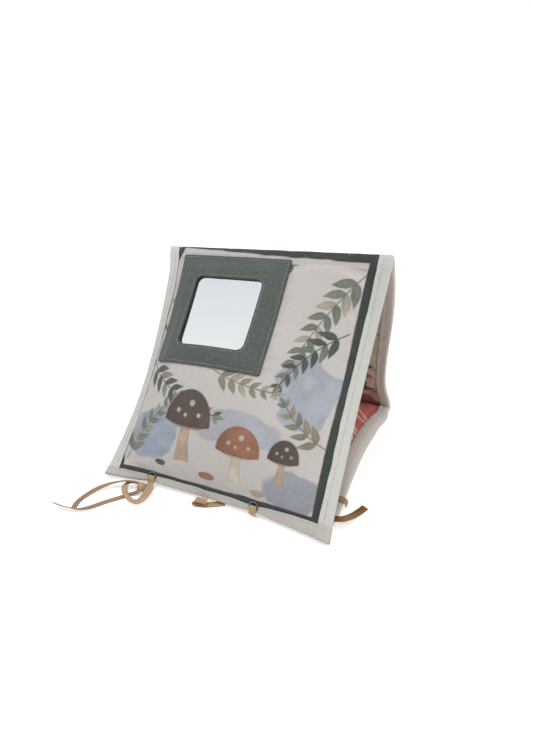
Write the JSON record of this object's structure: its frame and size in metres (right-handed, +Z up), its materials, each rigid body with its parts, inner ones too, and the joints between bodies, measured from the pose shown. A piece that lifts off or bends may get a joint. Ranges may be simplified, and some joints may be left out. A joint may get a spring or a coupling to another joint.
{
  "type": "soft sensory book",
  "caption": "Soft cloth book of padded pages in one folding strip, stood up as a prism, with a mirror window, bound edges and satin tie ribbons.",
  "frame": {"origin": "on the surface that the book stands on, under the middle of the prism without its free ribbons", "axes": "+X along the folds to the viewer's right, -Y out of the front page's printed side, +Z up from the surface that the base page lies on"},
  "size_m": [0.2259, 0.2797, 0.1908],
  "materials": {
    "printed_cotton": "printed plain-weave cotton",
    "wadding": "polyester fibre wadding",
    "beige_cotton": "plain-weave cotton",
    "coral_cotton": "plain-weave cotton",
    "white_tape": "folded cotton edge tape",
    "green_canvas": "coarse canvas",
    "mirror_acrylic": "silvered acrylic sheet",
    "eyelet_metal": "dark painted metal",
    "tan_satin": "satin ribbon"
  },
  "bodies": {
    "base_page": {"base_outer_cloth": "printed_cotton", "base_wadding": "wadding", "base_inner_cloth": "coral_cotton", "base_left_tape": "white_tape", "base_right_tape": "white_tape", "base_front_tape": "white_tape", "base_left_eyelet": "eyelet_metal", "base_right_eyelet": "eyelet_metal", "rear_fold_cloth": "printed_cotton", "rear_fold_left_tape": "white_tape", "rear_fold_right_tape": "white_tape", "base_side_ribbon": "tan_satin", "base_tail_ribbon": "tan_satin"},
    "back_page": {"back_outer_cloth": "printed_cotton", "back_wadding": "wadding", "back_inner_cloth": "beige_cotton", "back_left_tape": "white_tape", "back_right_tape": "white_tape", "ridge_fold_cloth": "printed_cotton", "ridge_fold_left_tape": "white_tape", "ridge_fold_right_tape": "white_tape"},
    "front_page": {"front_outer_cloth": "printed_cotton", "front_wadding": "wadding", "front_inner_cloth": "beige_cotton", "front_left_tape": "white_tape", "front_right_tape": "white_tape", "front_foot_tape": "white_tape", "mirror_sheet": "mirror_acrylic", "mirror_frame": "green_canvas", "front_left_eyelet": "eyelet_metal", "front_right_eyelet": "eyelet_metal", "left_tie_ribbon": "tan_satin", "left_knot": "tan_satin", "left_loop_ribbon": "tan_satin", "left_upper_tail_ribbon": "tan_satin", "left_lower_tail_ribbon": "tan_satin", "right_tie_ribbon": "tan_satin", "middle_loop_ribbon": "tan_satin"}
  },
  "joints": [
    {"name": "rear_fold", "type": "hinge", "parent": "base_page", "child": "back_page", "pos_m": [0, 0.1135, 0.0038], "axis": [-1, 0, 0], "range_deg": [0, 210]},
    {"name": "ridge_fold", "type": "hinge", "parent": "back_page", "child": "front_page", "pos_m": [0, 0.0049, 0.182], "axis": [-0.9982, 0, -0.0599], "range_deg": [0, 210]}
  ]
}
